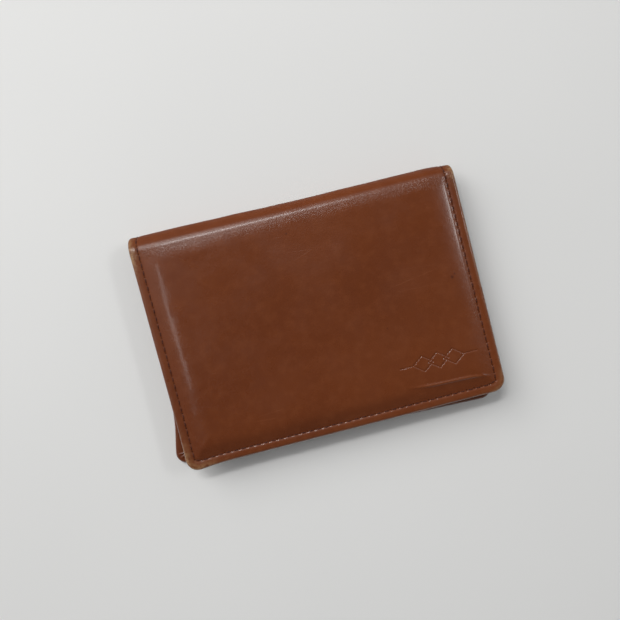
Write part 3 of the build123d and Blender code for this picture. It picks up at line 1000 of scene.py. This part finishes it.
def wadding():
    """Crowned pad between the flap's board and its leather."""
    half = HALF_W - PAD_INSET
    us = spaced([-half, half], [1.5])
    vs = spaced([BEND_LENGTH + 0.5, FLAP_S - PAD_INSET], [1.5])
    U, V = np.meshgrid(us, vs)
    top = -LEATHER_T - 0.03 + crown_height(edge_inset(U, V, FLAP_S), V) * 0.97
    base = np.full_like(top, -LEATHER_T - 0.04)
    points = np.concatenate([wrap(U, V, h, 1).reshape(-1, 3) for h in (top, base)])
    rows, columns = U.shape
    count = rows * columns
    border = border_loop(rows, columns)
    faces = grid_faces(rows, columns) + grid_faces(rows, columns, count)
    faces += join_loops([border, border + count])
    piece = outward(make_mesh("flap_wadding", points, faces))
    return paint(piece, FELT)


for node in ("back_stiffener", "flap_stiffener"):
    paint(frame["nodes"][node], BOARD)
pad = wadding()
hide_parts("flap_padding")
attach(pad, "flap")

# -------- slip pocket in the flap
SLIP_HALF = HALF_W - SLIP_INSET
SLIP_ROW_END = 2.6            # from the pocket's side to the end of the row along its mouth


def slip_pocket():
    """Leather slip pocket inside the flap, open towards the fold."""
    corner = np.linspace(0, SLIP_R, 9)[1:]
    edge_u = SLIP_HALF - SLIP_R
    side_u = spaced([-edge_u, -edge_u + 2, edge_u - 2, edge_u], [0.4, 0.9, 0.4])
    us = np.concatenate([-edge_u - corner[::-1], side_u, edge_u + corner])
    edge_v = SLIP_END - SLIP_R
    vs = spaced([SLIP_MOUTH, SLIP_MOUTH + 3, edge_v - 2, edge_v], [0.3, 0.9, 0.4])
    vs = np.concatenate([vs, edge_v + corner])

    def height(u, v):
        e = edge_inset(u, v, FLAP_S)
        full = 0.10 * ease((e - 4) / 10) * ease((v - SLIP_MOUTH) / 6 + 0.4)
        dip = np.maximum(seam_dip(e - SEAM_INSET), seam_dip(v - SLIP_MOUTH - INNER_SEAM))
        return -PANEL_T - SLIP_T - full + dip

    piece = panel_solid(
        "flap_slip_leather", us, vs, outside(1), -SLIP_T, height, round_v=edge_v, rim=0.28
    )
    return paint(piece, INNER)


slip = slip_pocket()
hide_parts("flap_slip_pocket")
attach(slip, "flap")
row_u, row_v = SLIP_HALF - SLIP_ROW_END, SLIP_MOUTH + INNER_SEAM
slip_thread = thread_mesh(
    "flap_slip_thread", [row_of_holes((-row_u, row_v), (row_u, row_v))], inside(1),
    level(PANEL_T + SLIP_T - THREAD_SEAT), sink=INNER_SINK,
)
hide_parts("flap_slip_stitching")
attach(slip_thread, "flap")

# -------- main card pocket
SCOOP_R = (SCOOP_HALF**2 + SCOOP_DEPTH**2) / (2 * SCOOP_DEPTH)
SCOOP_START = 39.5            # above this the grid follows the scoop
FOOT_Z = PANEL_T + 0.08
POCKET_T = 0.6
CLOTH_HALF = 48.9             # lining of the pocket's front
CLOTH_LOW = 5.6               # from the foot
CLOTH_BACK = 0.8              # from the mouth
CLOTH_T = 0.28
SLOT_T = 0.56


def pocket_rise(t, top):
    """Height of the pocket's front at distance t from its foot: up a slope, round, then flat."""
    slope = (top - FOOT_Z) / (POCKET_SLOPE - 0.6)
    raw = FOOT_Z + slope * np.maximum(t, 0)
    soft = 0.9
    return -soft * np.logaddexp(-raw / soft, -top / soft)


def mouth_edge(u):
    """Distance of the mouth from the foot, with the shallow scoop in its middle."""
    arc = POCKET_HEIGHT - SCOOP_DEPTH + SCOOP_R
    curve = arc - np.sqrt(np.maximum(SCOOP_R**2 - u**2, 0))
    soft = 0.35
    return POCKET_HEIGHT - soft * np.logaddexp(0, (POCKET_HEIGHT - curve) / soft)


def pocket_sheet(name, half, low_t, thick, top, back_off, steps):
    """One layer of the pocket's front, from low_t above its foot to back_off below its mouth."""
    start = SCOOP_START
    us = spaced([-half, -half + 3, -32, -26, 26, 32, half - 3, half], [0.4, 1, 0.5, 1, 0.5, 1, 0.4])
    vs = spaced([low_t, 8, start, POCKET_HEIGHT - 4, POCKET_HEIGHT], steps)

    def shape(u, v):
        reach = (mouth_edge(u) - back_off - start) / (POCKET_HEIGHT - start)
        return u, np.where(v > start, start + (v - start) * reach, v)

    def height(u, v):
        dip = seam_dip(POCKET_HALF - INNER_SEAM - np.abs(u)) * (v > 6) * (half == POCKET_HALF)
        return pocket_rise(v, top) - dip

    def place(u, v, h):
        return pocket_place(u, POCKET_FOOT + v, h)

    return panel_solid(name, us, vs, place, thick, height, shape=shape, rim=0.25)


front = pocket_sheet(
    "pocket_leather", POCKET_HALF, 0.1, POCKET_T, POCKET_TOP, 0.0, [0.25, 1.2, 0.6, 0.3]
)
paint(front, INNER)
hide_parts("pocket_front")
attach(front, "pocket")
front_lining = pocket_sheet(
    "pocket_lining", CLOTH_HALF, CLOTH_LOW, CLOTH_T, POCKET_UNDER - 0.02, CLOTH_BACK,
    [1.2, 1.2, 0.6, 0.3],
)
paint(front_lining, LINING)
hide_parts("pocket_front_lining")
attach(front_lining, "pocket")


def card_slot():
    """Flat slot sewn on the pocket's front, its mouth towards the fold."""
    half = SLOT_HALF
    us = spaced([-half, -half + 3, half - 3, half], [0.3, 0.9, 0.3])
    vs = spaced([SLOT_LOW, SLOT_LOW + 3, SLOT_HIGH - 3, SLOT_HIGH], [0.3, 0.9, 0.3])

    def height(u, v):
        edge = np.minimum(half - np.abs(u), np.minimum(v - SLOT_LOW, SLOT_HIGH - v))
        return SLOT_TOP + 0.06 * ease((edge - 3) / 8) - seam_dip(edge - INNER_SEAM)

    piece = panel_solid("card_slot_leather", us, vs, pocket_place, SLOT_T, height, rim=0.25)
    return paint(piece, INNER)


slot = card_slot()
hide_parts("card_slot")
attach(slot, "pocket")
sx = SLOT_HALF - INNER_SEAM
s_low, s_high = SLOT_LOW + INNER_SEAM, SLOT_HIGH - INNER_SEAM
corners = [(-sx, s_low), (sx, s_low), (sx, s_high), (-sx, s_high), (-sx, s_low)]
slot_rows = [row_of_holes(a, b) for a, b in zip(corners[:-1], corners[1:])]
slot_thread = thread_mesh(
    "card_slot_thread", slot_rows, pocket_place, level(SLOT_TOP - THREAD_SEAT), sink=INNER_SINK
)
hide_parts("card_slot_stitching")
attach(slot_thread, "pocket")


# -------- gussets
GUSSET_LOW = 0.8              # from the pocket's foot
GUSSET_SHORT = 0.6            # from its mouth
GUSSET_X = 50.8               # middle of the leather's outer edges
GUSSET_DEEP = 3.9             # how far the fold goes inwards at the mouth
GUSSET_HALF_T = 0.3
LEG_STEPS = 9                 # points on each half of the V
FOLD_SOFT = 0.02              # how round the V's fold is
SIDE_SEAM_LOW = 6.2           # start of the side seam, from the pocket's foot


def gusset_outline(t):
    """Closed outline (x, z) of a gusset's section at distance t from the pocket's foot."""
    low = PANEL_T + 0.01
    high = float(pocket_rise(t, POCKET_TOP)) - POCKET_T - 0.02
    tall = max(high - low, 0.12)
    deep = GUSSET_DEEP * (tall / (POCKET_UNDER - PANEL_T)) ** 0.8
    f = np.arange(2 * LEG_STEPS + 1) / LEG_STEPS - 1
    inward = deep * (1 - np.sqrt(f * f + FOLD_SOFT) / math.sqrt(1 + FOLD_SOFT)) * 1.08
    z = low + GUSSET_HALF_T + (tall - 2 * GUSSET_HALF_T) * (f + 1) / 2
    middle = np.stack([GUSSET_X - inward, z], -1)
    along = np.gradient(middle, axis=0)
    size = np.hypot(along[:, 0], along[:, 1])[:, None]
    side = np.stack([along[:, 1], -along[:, 0]], -1) / size * min(GUSSET_HALF_T, tall * 0.4)
    outline = np.concatenate([middle + side, (middle - side)[::-1]])
    outline[:, 1] = np.clip(outline[:, 1], low, high)
    return outline


def gusset(name, hand):
    """V-folded end of the pocket, tapering to its foot, with a soft inward fold."""
    ts = spaced([GUSSET_LOW, 6, POCKET_HEIGHT - GUSSET_SHORT], [0.4, 1.5])
    rows = []
    for t in ts:
        x, z = gusset_outline(t).T
        rows.append(pocket_place(hand * x, POCKET_FOOT + t, z))
    columns = len(rows[0])
    faces = join_loops(np.arange(len(ts) * columns).reshape(-1, columns))
    for start in (0, (len(ts) - 1) * columns):
        for j in range(columns // 2 - 1):
            a, b = start + j, start + columns - 1 - j
            faces.append((a, a + 1, b - 1, b))
    piece = outward(make_mesh(name, np.concatenate(rows), faces))
    return paint(piece, INNER)


for hand, name in ((-1, "left"), (1, "right")):
    fold = gusset(f"gusset_{name}_leather", hand)
    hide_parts(f"gusset_{name}")
    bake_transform(fold)
    gx = hand * (POCKET_HALF - INNER_SEAM)
    row = row_of_holes((gx, POCKET_FOOT + SIDE_SEAM_LOW), (gx, POCKET_MOUTH - GUSSET_SHORT))
    thread = thread_mesh(
        f"gusset_{name}_thread", [row], pocket_place, level(POCKET_TOP - THREAD_SEAT),
        sink=INNER_SINK,
    )
    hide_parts(f"gusset_{name}_stitching")
    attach(thread, "pocket")


# -------- camera, light, floor
EYE = Vector((2.01, 14.1, 215.34)) * MM
AIM = Vector((-0.0162, -0.0499, -0.9986))
UP = Vector((0.2349, 0.9706, -0.0524))
SKY = 0.56
SKY_DARK = 0.2                # of SKY where the surroundings are darkest
SKY_COLOUR = (0.98, 0.99, 1.0, 1)
# Lamps: name, place, size, power in watts and, where it isn't white, tint.
LAMPS = (
    ("key", (-0.6, 0.78, 0.78), (0.9, 0.8), 8.7, (1, 0.99, 0.98)),
    ("fold_strip", (-0.12, 0.5, 0.87), (0.36, 0.1), 3.3),
    ("left_strip", (-0.46, 0.0, 0.9), (0.28, 0.06), 0.24),
    ("right_strip", (0.84, 0.16, 0.86), (0.32, 0.14), 1.6),
)


def add_camera():
    """Camera at the photo's viewing angle."""
    data = bpy.data.cameras.new("camera")
    data.sensor_width = 36.0
    data.lens = 36.0
    data.clip_start = 0.01
    camera = new_object("camera", data)
    back = -AIM.normalized()
    right = UP.cross(back).normalized()
    up = back.cross(right)
    turn = Matrix((right, up, back)).transposed()
    camera.matrix_world = Matrix.Translation(EYE) @ turn.to_4x4()
    bpy.context.scene.camera = camera


def add_area(name, place, size, watts, tint=(1, 1, 1)):
    """A rectangular lamp that faces the origin."""
    data = bpy.data.lights.new(name, "AREA")
    data.shape = "RECTANGLE"
    data.size, data.size_y = size
    data.energy = watts
    data.color = tint
    lamp = new_object(name, data)
    lamp.location = place
    direction = Vector() - Vector(place)
    lamp.rotation_euler = direction.to_track_quat("-Z", "Y").to_euler()


def add_floor():
    """Plain pale floor just under the case."""
    bpy.ops.mesh.primitive_plane_add(size=4, location=(0, 0, -0.0002))
    floor = bpy.context.object
    floor.name = "floor"
    n = Material("pale_floor")
    tone = n.mix(n.ramp(n.noise(3, 3), 0.3, 0.7), (0.70, 0.70, 0.69, 1), (0.73, 0.73, 0.72, 1))
    floor.data.materials.append(n.finish(tone, 0.7, n.bump(n.noise(300, 2), 0.02, 0.0002)))


def add_light():
    """Soft surroundings, darker overhead, at the front and low at the rear, and the lamps."""
    world = bpy.data.worlds.new("studio")
    bpy.context.scene.world = world
    world.use_nodes = True
    n = Nodes(world.node_tree)
    place = n.add("ShaderNodeTexCoord").outputs["Generated"]
    _, y, z = n.add("ShaderNodeSeparateXYZ", {0: place}).outputs
    front = n.math("MULTIPLY", n.ramp(y, -0.25, 0.2, 1, 0), n.ramp(z, 0.15, 0.4))
    rear = n.math("MULTIPLY", n.ramp(y, 0.2, 0.6, 0, 0.6), n.ramp(z, 0.3, 0.6, 1, 0))
    dark = n.math("MAXIMUM", front, n.math("MAXIMUM", rear, n.ramp(z, 0.79, 0.9)))
    span = {"Value": dark, "To Min": SKY, "To Max": SKY * SKY_DARK}
    sky = n.tree.nodes["Background"]
    n.put(sky.inputs["Strength"], n.add("ShaderNodeMapRange", span).outputs["Result"])
    n.put(sky.inputs["Color"], SKY_COLOUR)
    for lamp in LAMPS:
        add_area(*lamp)


add_camera()
add_light()
add_floor()
bpy.context.scene.view_settings.view_transform = "Standard"
